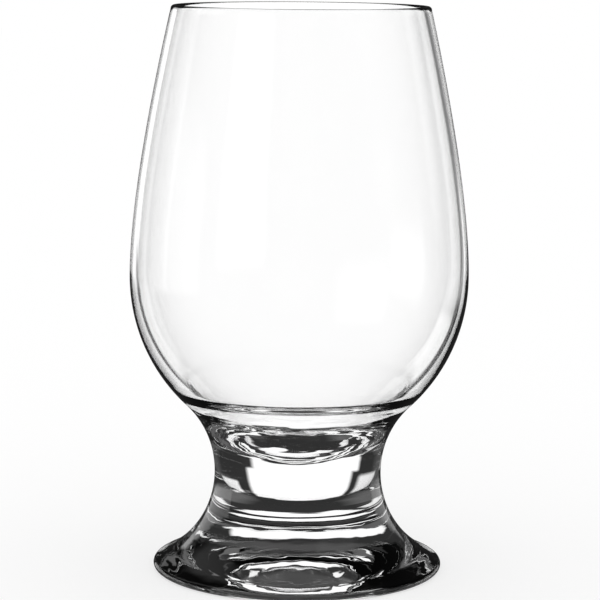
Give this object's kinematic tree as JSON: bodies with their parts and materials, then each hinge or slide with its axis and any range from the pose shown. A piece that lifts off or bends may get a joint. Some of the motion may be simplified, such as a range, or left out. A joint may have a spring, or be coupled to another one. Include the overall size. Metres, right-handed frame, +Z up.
{
  "type": "beer goblet",
  "caption": "Short-stemmed clear glass beer goblet: a tall bowl that leans in to the rim, with its rounded bottom seated in a waisted solid stem, and a flared foot.",
  "frame": {"origin": "centre of the foot, on the surface the goblet stands on", "axes": "+Z up along the goblet's axis, from the foot to the rim; the goblet is the same all round, so +X and +Y are any two level directions at right angles"},
  "size_m": [0.079, 0.079, 0.132],
  "materials": {
    "glass": "clear, fire-polished"
  },
  "bodies": {
    "root": {"bowl": "glass", "stem": "glass", "foot": "glass"}
  },
  "joints": []
}
